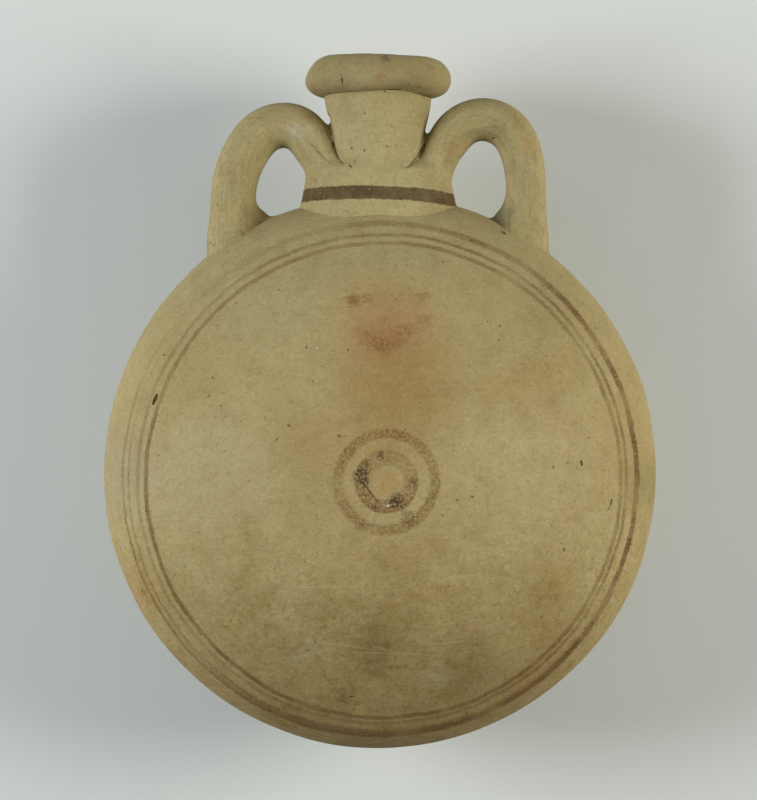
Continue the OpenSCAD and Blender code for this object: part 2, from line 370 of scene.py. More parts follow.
# Straps of the handles, in the seam's plane. Angles in degrees, lengths in metres.
def strap(name, side, thick, rise, top_x, leg_x, outer_bend, inner_bend, turn, dive):
    """One strap from inside the body, up the leg, over the top and down into the collar."""
    buried, foot_h, foot_in, foot_wide = 10 * MM, 12 * MM, 1.5 * MM, 2.5 * MM
    half = thick / 2
    top_y = BODY_R + rise - half
    outer_r = outer_bend + half
    inner_r = inner_bend + half
    turn, dive = math.radians(turn), math.radians(dive)
    leg_r = (leg_x - top_x - outer_r * math.sin(turn)) / (1 - math.sin(turn))
    leg_top = top_y - outer_r + (outer_r - leg_r) * math.cos(turn)
    leg_edge = math.sqrt(BODY_R ** 2 - leg_x ** 2)
    bpy.ops.object.select_all(action="DESELECT")
    bpy.ops.mesh.primitive_circle_add(vertices=32, radius=1, location=(0, 0, 0),
                                      rotation=(math.pi / 2, 0, 0))
    piece = bpy.context.object
    piece.name = piece.data.name = name
    bpy.ops.object.transform_apply(location=True, rotation=True, scale=True)
    bpy.ops.object.mode_set(mode="EDIT")
    bpy.ops.mesh.select_mode(type="VERT")
    bpy.ops.mesh.select_all(action="SELECT")
    bpy.ops.transform.resize(value=(half, 1, STRAP_W / 2), center_override=(0, 0, 0))
    start = Vector((side * leg_x, leg_edge - buried, SEAM_Z))
    bpy.ops.transform.translate(value=start)
    bpy.ops.mesh.edge_face_add()

    def spread(y):
        return max(0.0, min(1.0, 1 - (y - leg_edge) / foot_h)) ** 2

    here = start.copy()
    width = 1.0
    stops = [leg_edge - buried] + [leg_edge + (leg_top - leg_edge) * i / 6 for i in range(7)]
    for i, y in enumerate(stops):
        s = spread(y)
        place = Vector((side * (leg_x - foot_in * s), y, SEAM_Z))
        wide = (half + foot_wide * s) / half
        if i:
            bpy.ops.mesh.extrude_region_move(TRANSFORM_OT_translate={"value": place - here})
        else:
            bpy.ops.transform.translate(value=place - here)
        bpy.ops.transform.resize(value=(wide / width, 1, 1), center_override=place)
        here, width = place, wide
    bends = [((leg_x - leg_r, leg_top), math.pi / 2 - turn, 8),
             ((top_x, top_y - outer_r), turn, 8),
             ((top_x, top_y - inner_r), dive, 9)]
    for (bx, by), angle, steps in bends:
        bpy.ops.mesh.spin(steps=steps, angle=angle, center=(side * bx, by, SEAM_Z),
                          axis=(0, 0, -side))
    end_y = top_y - inner_r * (1 - math.cos(dive))
    down = end_y - (COLLAR_TOP_Y - half)
    bpy.ops.mesh.extrude_region_move(TRANSFORM_OT_translate={
        "value": (-side * down / math.tan(dive), -down, 0)})
    bpy.ops.mesh.select_all(action="SELECT")
    bpy.ops.mesh.normals_make_consistent(inside=False)
    bpy.ops.object.mode_set(mode="OBJECT")
    return piece


# The two moulded halves of the body
front_shell = bowl_wall("front_shell", FRONT_H, 1, 0)
back_shell = bowl_wall("back_shell", BACK_H, -1, REST_CUT)
body = body_block("body_block")

# The shoulder: neck, collar and straps luted onto the body and smeared into one another
straps = [strap("left_strap", -1, thick=12.4 * MM, rise=25.5 * MM, top_x=26.4 * MM, leg_x=40.5 * MM,
                outer_bend=4.1 * MM, inner_bend=2 * MM, turn=50, dive=55),
          strap("right_strap", 1, thick=11.8 * MM, rise=27.1 * MM, top_x=28.3 * MM, leg_x=39.6 * MM,
                outer_bend=3.9 * MM, inner_bend=4.1 * MM, turn=65, dive=60)]
top_body = body_block("top_body", -0.25 * MM)
cut(top_body, block_between("top_half", (-0.07, 0.045, 0.005), (0.07, 0.09, 0.075)), "INTERSECT")
shoulder = joined([top_body, neck_block("neck_column", 6 * MM), collar_block("collar")] + straps,
                  "shoulder")
apply_modifier(shoulder, "REMESH", mode="VOXEL", voxel_size=CLAY_GRAIN, use_smooth_shade=True)
apply_modifier(shoulder, "SMOOTH", factor=0.5, iterations=14)

# The neck runs into the collar in a long soft curve
blend = shoulder.vertex_groups.new(name="blend")
for vertex in shoulder.data.vertices:
    off = abs(vertex.co.y - COLLAR_TOP_Y) / (8 * MM)
    wide = abs(vertex.co.x - NECK_X) / (17 * MM)
    if off < 1 and wide < 1:
        blend.add([vertex.index], (1 - off) * min(1.0, 3 - 3 * wide), "ADD")
    corner = math.hypot(abs(vertex.co.x - NECK_X) - 21 * MM, vertex.co.y - COLLAR_TOP_Y + 2 * MM)
    if corner < 6 * MM:
        blend.add([vertex.index], 0.3 * (1 - corner / (6 * MM)), "ADD")
apply_modifier(shoulder, "SMOOTH", factor=0.6, iterations=160, vertex_group="blend")

# Creases where the straps were pressed over the collar and beside the neck
for mark in [crease(shoulder, [(328, 118), (330, 127), (331, 136), (332, 146), (336, 156), (343, 163),
                               (357, 168)], [0.3, 0.55, 0.6, 0.5, 0.45, 0.4, 0.3]),
             crease(shoulder, [(430, 124), (428, 133), (426, 143), (421, 154), (411, 163), (404, 166)],
                    [0.5, 0.75, 0.75, 0.6, 0.45, 0.3]),
             crease(shoulder, [(304, 140), (309, 144), (316, 150), (323, 157), (331, 163)],
                    [0.3, 0.65, 0.75, 0.6, 0.3]),
             crease(shoulder, [(440, 121), (450, 117), (462, 116)], [0.5, 0.6, 0.3]),
             crease(shoulder, [(305, 178), (308, 175), (314, 174)], [0.5, 0.7, 0.3]),
             crease(shoulder, [(240, 229), (246, 236), (250, 245)], [0.4, 0.8, 0.3]),
             crease(shoulder, [(209, 243), (215, 245), (221, 250)], [0.5, 0.6, 0.3])]:
    cut(shoulder, mark)

# The flattened tops of the loops
press(shoulder, 283, 110, 7 * MM, 0.4 * MM)
press(shoulder, 488, 116, 7 * MM, 0.3 * MM)
press(shoulder, 235, 190, 9 * MM, -0.3 * MM)

# Pulls at the seam's height, as place, move and radius in mm: the right leg is thinner, the right
# loop rounder and the neck wider on top
for x, y, move_x, move_y, radius in [(33.7, 79, 1.0, 0, 9), (32.6, 86.5, 0.6, 0.1, 6),
                                     (21.2, 86, -0.6, 0.3, 6), (14.6, 100, 0.5, 0, 8),
                                     (-15.4, 101, -0.4, 0, 5)]:
    pull(shoulder, (x * MM, y * MM, SEAM_Z), (move_x * MM, move_y * MM, 0), radius * MM)
# On the left a slot stays open between the strap and the neck
slot_high, slot_low = pixel_to_xy(326.4, 116), pixel_to_xy(330.4, 131)
cut(shoulder, block_between("slot", (slot_high[0], slot_low[1], SEAM_Z - 30 * MM),
                            (slot_low[0], slot_high[1], SEAM_Z + 30 * MM)))
# Both feet were luted with a wedge of clay inside the loop
for x, y in [(31, 66.5), (-31.5, 66.5), (-31.5, 69)]:
    pull(shoulder, (x * MM, y * MM, SEAM_Z), (math.copysign(1.0, -x) * MM, 0.7 * MM, 0), 6 * MM)
apply_modifier(shoulder, "REMESH", mode="VOXEL", voxel_size=FINE_GRAIN, use_smooth_shade=True)
apply_modifier(shoulder, "SMOOTH", factor=0.5, iterations=3)
for mark in [crease(shoulder, [(329, 121), (331, 133), (333, 146), (337, 156), (343, 163), (352, 167)],
                    [0.3, 0.45, 0.45, 0.4, 0.3, 0.1]),
             crease(shoulder, [(431, 127), (428, 138), (424, 148), (417, 156), (410, 163)],
                    [0.3, 0.5, 0.5, 0.35, 0.1]),
             crease(shoulder, [(305, 140), (311, 145), (318, 152), (324, 158), (331, 162), (342, 165)],
                    [0.04, 0.14, 0.2, 0.22, 0.22, 0.15]),
             pit(shoulder, 495, 138, 1.6, 1.1, 0.6, 30), pit(shoulder, 352, 148, 0.9, 0.7, 0.4),
             pit(shoulder, 365, 150, 0.8, 0.7, 0.4), pit(shoulder, 355, 160, 0.9, 0.6, 0.4, 40),
             pit(shoulder, 503, 231, 2.7, 1.7, 1.5, -32)]:
    cut(shoulder, mark)

# The shoulder cut into its pieces
step_y = COLLAR_TOP_Y + 1.5 * MM
smeared = 1.4 * MM
column = turned_on_neck("column", [(0, NECK_FOOT_Y), (NECK_BASE_R, NECK_FOOT_Y), (NECK_BASE_R, step_y),
                                   (NECK_BASE_R + smeared, step_y),
                                   (NECK_TOP_R + smeared, RIM_BASE_Y), (0, RIM_BASE_Y)], closed=False)
bore_y = NECK_FOOT_Y - 5 * MM
throat_bore = turned_on_neck("throat_bore", [(0, bore_y), (THROAT_R, bore_y), (THROAT_R, RIM_TOP),
                                             (0, RIM_TOP)], closed=False)
neck = copy_of(shoulder, "thrown_neck")
cut(neck, column, "INTERSECT", keep=True)
cut(neck, throat_bore)
cut(shoulder, body)
cut(shoulder, column)
cut(front_shell, neck_block("front_gap"))
cut(back_shell, neck_block("back_gap"))
collar = copy_of(shoulder, "smeared_collar")
collar_cut = collar_block("collar_cut", 0.3 * MM)
select_where(collar_cut, lambda co: co.y > COLLAR_TOP_Y - 0.1 * MM)
bpy.ops.transform.translate(value=(0, 2.5 * MM, 0))
bpy.ops.object.mode_set(mode="OBJECT")
cut(collar, collar_cut, "INTERSECT", keep=True)
cut(shoulder, collar_cut)
left_loop = copy_of(shoulder, "left_loop")
right_loop = shoulder
right_loop.name = right_loop.data.name = "right_loop"
cut(left_loop, block_between("left_side", (-0.08, 0.04, -0.01), (NECK_X, 0.13, 0.09)), "INTERSECT")
cut(right_loop, block_between("right_side", (NECK_X, 0.04, -0.01), (0.08, 0.13, 0.09)), "INTERSECT")

neck, collar = keep_largest(neck), keep_largest(collar)
left_loop, right_loop = keep_largest(left_loop), keep_largest(right_loop)

# The rolled rim, folded out and pressed down over the neck's end
roll_c = RIM_R - ROLL_R
lip_y = ROLL_Y + math.sqrt(ROLL_R ** 2 - (roll_c - THROAT_R) ** 2)
start = math.degrees(math.atan2(lip_y - ROLL_Y, THROAT_R - roll_c))
roll = [(r, y if y > ROLL_Y else ROLL_Y + (y - ROLL_Y) * ROLL_UNDER / ROLL_R)
        for r, y in arc(roll_c, ROLL_Y, ROLL_R, start, -86, 30)]
rim = turned_on_neck("rolled_rim", [(NECK_TOP_R, RIM_BASE_Y), (THROAT_R, RIM_BASE_Y)] + roll, 160)
# In front the roll's lower edge was pinched up a little, most of it right of the middle
for side, lift in [(-5, 0.5), (5.5, 1.1)]:
    pull(rim, (NECK_X + side * MM, ROLL_Y - ROLL_UNDER, SEAM_Z + roll_c), (0, lift * MM, 0), 13 * MM)
# The left end of the rim is worn rounder on top
pull(rim, (NECK_X - 17.5 * MM, ROLL_Y + 4 * MM, SEAM_Z), (0.5 * MM, -0.5 * MM, 0), 9 * MM)
lumps = bpy.data.textures.new("lumps", "CLOUDS")
lumps.noise_scale = 9 * MM
lumps.noise_depth = 2
apply_modifier(rim, "DISPLACE", texture=lumps, texture_coords="GLOBAL", strength=0.7 * MM,
               mid_level=0.5)
for mark in [crease(rim, [(342, 77), (342, 80), (343, 84)], [0.12, 0.3, 0.12], 0.5),
             crease(rim, [(398, 86), (408, 86), (418, 86), (426, 87)], [0.12, 0.3, 0.3, 0.12], 0.5),
             pit(rim, 409, 84, 1.0, 0.6, 0.4, 20), pit(rim, 341, 75, 0.7, 0.5, 0.3)]:
    cut(rim, mark)

# The plug in the middle of the front, with its smear inside
def dome_layer(name, inset0, inset1):
    outer = [(r, 0, SEAM_Z + z) for r, z in dome_arcs(FRONT_H, inset0, 44, 6) if r < 20 * MM]
    inner = [(r, 0, SEAM_Z + z) for r, z in dome_arcs(FRONT_H, inset1, 44, 6) if r < 20 * MM]
    return turned(name, outer + inner[::-1], 96)


def plug_cylinder(name, r):
    bpy.ops.object.select_all(action="DESELECT")
    bpy.ops.mesh.primitive_cylinder_add(vertices=96, radius=r, depth=0.06,
                                        location=(PLUG_X, PLUG_Y, SEAM_Z + FRONT_H - 0.01))
    bpy.context.object.name = name
    return bpy.context.object


plug = dome_layer("plug", 0, WALL + PLUG_SMEAR_T)
cut(plug, plug_cylinder("plug_edge", PLUG_R - 0.05 * MM), "INTERSECT")
smear = dome_layer("smear", WALL, WALL + PLUG_SMEAR_T)
cut(smear, plug_cylinder("smear_edge", PLUG_R + PLUG_SMEAR), "INTERSECT")
cut(plug, smear, "UNION")
cut(front_shell, plug_cylinder("plug_hole", PLUG_R))
cut(plug, pit(plug, 381, 487, 1.6, 1.0, 0.2, 50))

# A crack beside the plug, chaff burnt out of the front, and the chips on its edge
for mark in [crease(front_shell, [(360, 481), (364, 487), (371, 496), (377, 503), (383, 508)],
                    [0.05, 0.13, 0.14, 0.13, 0.05], 0.6),
             pit(front_shell, 387, 508, 1.1, 0.5, 0.3, 15), pit(front_shell, 503, 232, 2.7, 1.7, 1.5, -32),
             pit(front_shell, 155, 399, 3.4, 1.3, 1.3, 65), pit(front_shell, 582, 463, 1.7, 0.8, 0.7, 105),
             pit(front_shell, 611, 503, 2.4, 0.9, 0.5, 70), pit(front_shell, 608, 509, 1.8, 0.8, 0.4, 10),
             pit(front_shell, 563, 550, 1.5, 1.0, 0.5), pit(front_shell, 277, 440, 1.4, 0.9, 0.4, 45),
             pit(front_shell, 306, 347, 0.9, 0.7, 0.4, 20),
             pit(front_shell, 352, 697, 2.6, 1.2, 0.5, 15)]:
    cut(front_shell, mark)

# One slow warp goes through every piece, so that they still meet: nothing here was ever quite round
warp = bpy.data.textures.new("hand_warp", "CLOUDS")
warp.cloud_type = "COLOR"
warp.noise_scale = 38 * MM
shown = {"front_bowl": front_shell, "back_bowl": back_shell, "closing_plug": plug, "neck": neck,
         "rim_roll": rim, "neck_collar": collar, "left_handle": left_loop, "right_handle": right_loop}
for piece in shown.values():
    apply_modifier(piece, "DISPLACE", texture=warp, texture_coords="GLOBAL", direction="RGB_TO_XYZ",
                   space="GLOBAL", strength=1.1 * MM, mid_level=0.5)
    pick(piece)
    bpy.ops.object.shade_smooth_by_angle(angle=math.radians(50))


# Materials
def srgb(code):
    """A colour written as in a paint program, as linear red, green, blue and alpha."""
    parts = [int(code[i:i + 2], 16) / 255 for i in (1, 3, 5)]
    return [c / 12.92 if c <= 0.04045 else ((c + 0.055) / 1.055) ** 2.4 for c in parts] + [1.0]


def add(tree, kind, inputs, out=0, **settings):
    """Adds a node, sets or links its inputs by number or name, and returns one output."""
    node = tree.nodes.new("ShaderNode" + kind)
    for key, value in settings.items():
        setattr(node, key, value)
    for key, value in inputs.items():
        if isinstance(value, bpy.types.NodeSocket):
            tree.links.new(value, node.inputs[key])
        else:
            node.inputs[key].default_value = value
    return node.outputs[out]


def place_mm(px, py):
    """A pixel's place on the front dome, or on the rim, in millimetres."""
    x, y = pixel_to_xy(px, py, SEAM_Z + 30 * MM)
    x, y = pixel_to_xy(px, py, SEAM_Z + 19 * MM if y > RIM_BASE_Y else dome_height(x, y))
    return x / MM, y / MM


# Painted rings in mm: middle x and y, radius, width, soft edge, darkest direction x and y,
# faintest and full strength, how solid between the crumbs of paint, darkest colour
RINGS = [(0.9, -1.92, 63.85, 1.1, 0.25, -0.57, -0.82, 0.6, 0.85, 0.75, "#38240F"),
         (0.9, -1.92, 63.8, 1.3, 0.3, -0.77, -0.64, -1.6, 0.35, 0.3, "#33261A"),
         (0.55, -1.57, 65.8, 0.9, 0.25, 1.0, 0.4, 0.4, 0.75, 0.7, "#3C2810"),
         (0.25, -1.7, 69.1, 1.5, 0.3, 1.0, -0.15, 0.0, 1.15, 0.7, "#3A2412"),
         (0.25, -1.7, 68.8, 2.4, 0.4, 0.1, -1.0, -1.8, 0.7, 0.5, "#41301E"),
         (0.25, -1.7, 69.75, 0.6, 0.2, -0.85, -0.5, -1.6, 0.8, 0.5, "#3A2A20"),
         (0.25, -1.7, 68.1, 0.5, 0.2, -0.85, -0.5, -1.6, 0.65, 0.5, "#3A2A20"),
         (1.66, -1.8, 12.75, 2.7, 0.45, 0.4, 0.9, 0.75, 0.95, 0.25, "#684417"),
         (1.66, -1.8, 6.5, 3.6, 0.5, -0.3, -0.9, 0.7, 0.9, 0.22, "#64401A"),
         (1.66, -1.8, 8.1, 0.5, 0.4, -0.5, -0.9, 0.4, 1.0, 0.2, "#553513")]
# Tints in the clay, and in the neck and strap lists a few patches of painted light and shade: pixel of the
# photograph, radius and soft edge in mm, colour, strength, raggedness in mm
TINTS = [(215, 470, 6, 22, "#B6A980", 0.45, 4), (545, 470, 6, 22, "#B9AA80", 0.5, 4),
         (386, 332, 2, 20, "#A98459", 0.50, 6), (380, 338, 0, 10, "#A0714B", 0.35, 6),
         (400, 318, 0, 13, "#AA805B", 0.35, 6), (386, 380, 2, 24, "#987A43", 0.38, 6),
         (372, 296, 0, 9, "#A98A62", 0.30, 6),
         (110, 470, 4, 15, "#A8A086", 0.38, 5),
         (650, 480, 2, 8, "#8A7E54", 0.5, 4), (545, 305, 3, 10, "#90835A", 0.3, 5),
         (354, 299, 0.5, 2.0, "#7B5A26", 0.6, 4),
         (368, 299, 0.2, 1.6, "#7B5A26", 0.5, 4), (423, 296, 0.2, 1.8, "#80602E", 0.5, 4),
         (312, 455, 2, 10, "#96784A", 0.30, 8), (408, 395, 6, 14, "#937748", 0.25, 8),
         (125, 590, 3, 9, "#AE8A60", 0.35, 4), (382, 632, 2, 13, "#7E6838", 0.42, 10),
         (374, 650, 2, 8, "#705C2E", 0.41, 6), (470, 673, 4, 8, "#8A8058", 0.40, 5),
         (424, 664, 0.1, 2.5, "#77602F", 0.45, 4),
         (450, 661, 0.1, 2.2, "#7C6232", 0.40, 4), (345, 700, 0.2, 3.0, "#6B5A34", 0.45, 4),
         (318, 610, 1, 9, "#8C7040", 0.35, 10), (350, 672, 0, 6, "#77602F", 0.35, 8),
         (462, 636, 1, 6, "#8C6C3E", 0.22, 9), (317, 348, 0.1, 0.3, "#D9D2BC", 0.8, 0),
         (388, 484, 0.6, 3.0, "#A8743A", 0.40, 5), (440, 674, 2.2, 2.6, "#A09878", 0.40, 5),
         (425, 680, 0.8, 2.2, "#A09878", 0.35, 5), (305, 652, 3, 7, "#94895F", 0.40, 8),
         (352, 707, 0.5, 1.6, "#B39A5C", 0.55, 4), (360, 711, 0.3, 1.4, "#B39A5C", 0.5, 4)]
# (487, 117) is painted shade on the flattened top of the right loop; the others are smears and stains on
# the straps.
STRAP_TINTS = [(294, 134, 0.6, 3.2, "#B2B09A", 0.55, 3), (314, 130, 0.5, 3.0, "#A9A586", 0.40, 4),
               (256, 214, 1.0, 4.0, "#8F7242", 0.50, 4), (246, 232, 0.5, 4.0, "#94794A", 0.40, 4),
               (232, 170, 1.0, 6.0, "#A39062", 0.35, 5), (500, 216, 1.5, 3.5, "#78785A", 0.55, 4),
               (497, 132, 0.5, 3.5, "#83805E", 0.45, 4), (508, 170, 0.5, 3.0, "#8A8562", 0.40, 4),
               (531, 148, 0.5, 3.5, "#A87E4A", 0.35, 4), (453, 150, 1.0, 4.0, "#9C8150", 0.45, 4),
               (520, 235, 1.0, 5.0, "#A8A06C", 0.35, 5), (487, 117, 5, 9, "#857A50", 0.28, 4)]
# On the neck, (368, 136) is painted light on its left middle, (426, 118) painted shade on its right and
# (343, 112) painted shade in the crease beside the left strap; the others are stains on the rim and neck.
RIM_TINTS = [(381, 79, 0.3, 1.6, "#9A6430", 0.55, 3), (387, 70, 0.8, 3.0, "#8A7044", 0.25, 4),
             (386, 58, 0.3, 1.4, "#4E4230", 0.60, 3), (345, 84, 0.5, 2.2, "#77683C", 0.45, 4),
             (318, 66, 1.5, 5.0, "#8E8656", 0.40, 5), (425, 74, 1.0, 4.0, "#8C7648", 0.25, 5),
             (400, 90, 0.5, 3.0, "#7C6C42", 0.20, 4), (368, 136, 8, 12, "#B6AA7C", 0.50, 5),
             (426, 118, 1, 5, "#867B4E", 0.40, 4), (343, 112, 1, 5, "#8C8050", 0.35, 4)]
COLLAR_TINTS = [(382, 174, 12, 8, "#B4A87A", 0.50, 5)]
# Burnt purple-brown spots of thick paint on the inner ring, and a painted white highlight on a chip beside
# it
BURNT_SPOTS_AND_GLINT = [(361, 475, 1.0, 1.8, "#46291F", 0.9, 2.2), (366, 465, 0.4, 1.6, "#503120", 0.6, 2.2),
         (363, 483, 0.3, 1.6, "#503124", 0.7, 2.2), (381, 455, 0.3, 1.3, "#50331C", 0.7, 2.2),
         (396, 500, 0.9, 1.7, "#46291F", 0.85, 2.2), (401, 505, 0.4, 1.5, "#4A2C22", 0.7, 2.2),
         (390, 506, 0.2, 1.2, "#4A2C22", 0.7, 2.2), (413, 482, 0.2, 1.4, "#5A3F1C", 0.7, 2.2),
         (374, 508, 0.1, 1.2, "#4A3018", 0.7, 2.2), (409, 520, 0.8, 2.4, "#5E4026", 0.6, 2.2),
         (362, 525, 0.5, 1.8, "#624526", 0.5, 2.2), (374, 340, 0.6, 3.6, "#7A4A26", 0.50, 3.5),
         (398, 336, 0.6, 3.8, "#7E4E26", 0.45, 3.5), (386, 347, 0.4, 3.2, "#784824", 0.45, 3.0),
         (410, 331, 0.3, 3.0, "#80522A", 0.4, 3.5), (362, 333, 0.2, 2.8, "#80522A", 0.4, 3.5),
         (425, 319, 0.2, 2.6, "#7E5A2C", 0.4, 3.0),
         # painted highlight on the chip
         (388, 506, 0.1, 0.5, "#F0E8E0", 0.8, 0.4)]
# Scratches: direction in degrees, length and width in mm, where they start and end, tone, strength
SCRATCHES = [(-4, 14.0, 0.35, 0.64, 0.72, 1.22, 0.6), (9, 9.0, 0.5, 0.60, 0.70, 0.82, 0.5),
             (-14, 9.0, 0.35, 0.66, 0.74, 1.22, 0.6), (38, 6.0, 0.4, 0.66, 0.74, 1.16, 0.5),
             (-62, 5.0, 0.5, 0.64, 0.74, 0.84, 0.4)]
# Long pale scratches low on the front: pixels of both ends
SCORES = [(296, 587, 352, 587), (313, 641, 375, 650), (371, 646, 400, 653), (420, 645, 476, 640),
          (437, 580, 468, 577), (352, 652, 434, 655), (478, 618, 500, 633), (309, 655, 340, 646),
          (452, 578, 498, 571), (340, 560, 372, 566), (228, 560, 300, 552), (250, 500, 300, 492)]
# Finger marks round the loops: marks a millimetre, where they start and end, tone, strength
FINGER_MARKS = [(0.5, 0.50, 0.70, 0.80, 0.8), (0.55, 0.48, 0.30, 1.14, 0.7),
                (1.7, 0.52, 0.68, 0.82, 0.7), (1.8, 0.48, 0.32, 1.15, 0.6)]
# Mottling: size in mm, detail, where it starts and ends, tint, strength at the top and at the bottom
MOTTLES = [(6.2, 4.0, 0.50, 0.75, (0.82, 0.78, 0.70), 0.6, 0.6),
           (6.2, 4.0, 0.47, 0.25, (1.12, 1.12, 1.14), 0.6, 0.7),
           (12.0, 3.0, 0.50, 0.68, (0.86, 0.80, 0.64), 0.1, 0.8),
           (12.0, 3.0, 0.49, 0.34, (1.08, 1.08, 1.08), 0.1, 0.7),
           (2.8, 5.0, 0.50, 0.68, (0.86, 0.79, 0.61), 0.3, 0.95),
           (2.5, 5.0, 0.50, 0.32, (1.08, 1.12, 1.16), 0.3, 0.9),
           (1.1, 5.0, 0.52, 0.72, (0.72, 0.68, 0.60), 0.7, 1.0),
           (1.0, 5.0, 0.48, 0.28, (1.22, 1.22, 1.26), 0.7, 1.0),
           (0.35, 3.0, 0.50, 0.75, (0.70, 0.66, 0.58), 0.5, 0.9),
           (0.32, 3.0, 0.50, 0.25, (1.25, 1.24, 1.22), 0.5, 0.8)]


def marl_clay(name, painted=False, band=False, strap_smears=False, stains_and_painted_shading=()):
    """Buff marl clay, wiped wet and fired: mottled, scratched, with burnt-out chaff."""
    material = bpy.data.materials.new(name)
    material.use_nodes = True
    tree = material.node_tree
    shader = tree.nodes["Principled BSDF"]
    place = add(tree, "TexCoord", {}, "Object")
    mm = add(tree, "VectorMath", {0: place, 3: 1000.0}, operation="SCALE")
    x, y, z = (add(tree, "SeparateXYZ", {0: mm}, i) for i in range(3))

    # Broad tones: greener and slurried towards the neck, browner on the rim, and darker and browner
    # towards the bottom, partly the clay's own colour and partly painted shade
    patches = add(tree, "TexNoise", {0: mm, "Scale": 0.03, "Detail": 3.0, "Roughness": 0.5})
    blotches = add(tree, "TexNoise", {0: mm, "Scale": 0.16, "Detail": 4.0, "Roughness": 0.6})
    grain = add(tree, "TexNoise", {0: mm, "Scale": 0.9, "Detail": 5.0, "Roughness": 0.8})
    smear = add(tree, "Mapping", {0: mm, 2: (0.0, 0.0, 0.08), 3: (9.0, 1.6, 3.0)},
                vector_type="TEXTURE")
    smear = add(tree, "TexNoise", {0: smear, "Scale": 1.0, "Detail": 4.0, "Roughness": 0.6})
    rough = add(tree, "Math", {0: blotches, 1: 1.0, 2: -1.9}, operation="MULTIPLY_ADD")
    rough = add(tree, "Math", {0: smear, 1: 1.0, 2: rough}, operation="MULTIPLY_ADD")
    rough = add(tree, "Math", {0: grain, 1: 1.8, 2: rough}, operation="MULTIPLY_ADD")
    tone = add(tree, "MapRange", {0: patches, 1: 0.3, 2: 0.7}, interpolation_type="SMOOTHSTEP")
    colour = add(tree, "Mix", {0: tone, 6: srgb("#A69363"), 7: srgb("#AFA072")}, 2, data_type="RGBA")
    height = add(tree, "Math", {0: rough, 1: 12.0, 2: y}, operation="MULTIPLY_ADD")
    for start, end, strength, tint in [(15.0, 68.0, 0.85, "#A6996D"), (-16.0, -74.0, 0.85, "#907A4C"),
                                       (99.0, 105.0, 0.7, "#94845A")]:
        mask = add(tree, "MapRange", {0: height if start < 90 else y, 1: start, 2: end, 4: strength},
                   interpolation_type="SMOOTHSTEP")
        colour = add(tree, "Mix", {0: mask, 6: colour, 7: srgb(tint)}, 2, data_type="RGBA")

    front = add(tree, "Math", {0: z, 1: SEAM_Z / MM}, operation="GREATER_THAN")
    flat = add(tree, "VectorMath", {0: mm, 1: (1.0, 1.0, 0.0)}, operation="MULTIPLY")
    if painted:
        flecks = add(tree, "TexNoise", {0: flat, "Scale": 2.2, "Detail": 2.0, "Roughness": 0.6})

    def spot(colour, px, py, radius, soft, tint, strength, ragged, broken=None):
        """One tint, stain, painted highlight or painted shade with a ragged edge, on the front."""
        tx, ty = place_mm(px, py)
        away = add(tree, "VectorMath", {0: flat, 1: (tx, ty, 0.0)}, "Value", operation="DISTANCE")
        away = add(tree, "Math", {0: rough, 1: float(ragged), 2: away}, operation="MULTIPLY_ADD")
        mask = add(tree, "MapRange", {0: away, 1: radius + soft, 2: radius, 4: strength},
                   interpolation_type="SMOOTHSTEP")
        mask = add(tree, "Math", {0: mask, 1: front}, operation="MULTIPLY")
        if broken:
            mask = add(tree, "Math", {0: mask, 1: broken}, operation="MULTIPLY")
        return add(tree, "Mix", {0: mask, 6: colour, 7: srgb(tint)}, 2, data_type="RGBA")

    # Stains, and on the neck and the right loop some painted light and shade
    for stain in stains_and_painted_shading:
        colour = spot(colour, *stain)

    # Mottling, from the size of a fingertip down to single grains, more of it towards the bottom
    low_down = add(tree, "MapRange", {0: height, 1: 5.0, 2: -45.0}, interpolation_type="SMOOTHSTEP")
    for size, detail, start, end, tint, top, bottom in MOTTLES:
        texture = add(tree, "TexNoise", {0: mm, "Scale": 1 / size, "Detail": detail, "Roughness": 0.65})
        strength = add(tree, "MapRange", {0: low_down, 3: top, 4: bottom})
        mask = add(tree, "MapRange", {0: texture, 1: start, 2: end})
        mask = add(tree, "Math", {0: mask, 1: strength}, operation="MULTIPLY")
        colour = add(tree, "Mix", {0: mask, 6: colour, 7: tint + (1.0,)}, 2, data_type="RGBA",
                     blend_type="MULTIPLY")

    if strap_smears:
        # Finger marks that run along the strap, round the loop
        side = add(tree, "Math", {0: x, 1: NECK_X / MM}, operation="SUBTRACT")
        side = add(tree, "Math", {0: side}, operation="ABSOLUTE")
        up = add(tree, "Math", {0: y, 1: 80.0}, operation="SUBTRACT")
        above = add(tree, "Math", {0: up, 1: 0.65}, operation="MULTIPLY")
        below = add(tree, "Math", {0: up, 1: 0.2}, operation="MULTIPLY")
        up = add(tree, "Math", {0: above, 1: below}, operation="MAXIMUM")
        round_loop = add(tree, "CombineXYZ", {0: side, 1: up})
        away = add(tree, "VectorMath", {0: round_loop, 1: (27.6, 0.0, 0.0)}, "Value",
                   operation="DISTANCE")
        slow = add(tree, "Math", {0: y, 1: 0.12}, operation="MULTIPLY")
        across = add(tree, "Math", {0: z, 1: 0.3}, operation="MULTIPLY")
        round_loop = add(tree, "CombineXYZ", {0: away, 1: slow, 2: across})
        for scale, start, end, shade, strength in FINGER_MARKS:
            marks = add(tree, "TexNoise", {0: round_loop, "Scale": scale, "Detail": 3.0,
                                           "Roughness": 0.6})
            mask = add(tree, "MapRange", {0: marks, 1: start, 2: end, 4: strength})
            colour = add(tree, "Mix", {0: mask, 6: colour, 7: (shade, shade, shade, 1.0)}, 2,
                         data_type="RGBA", blend_type="MULTIPLY")

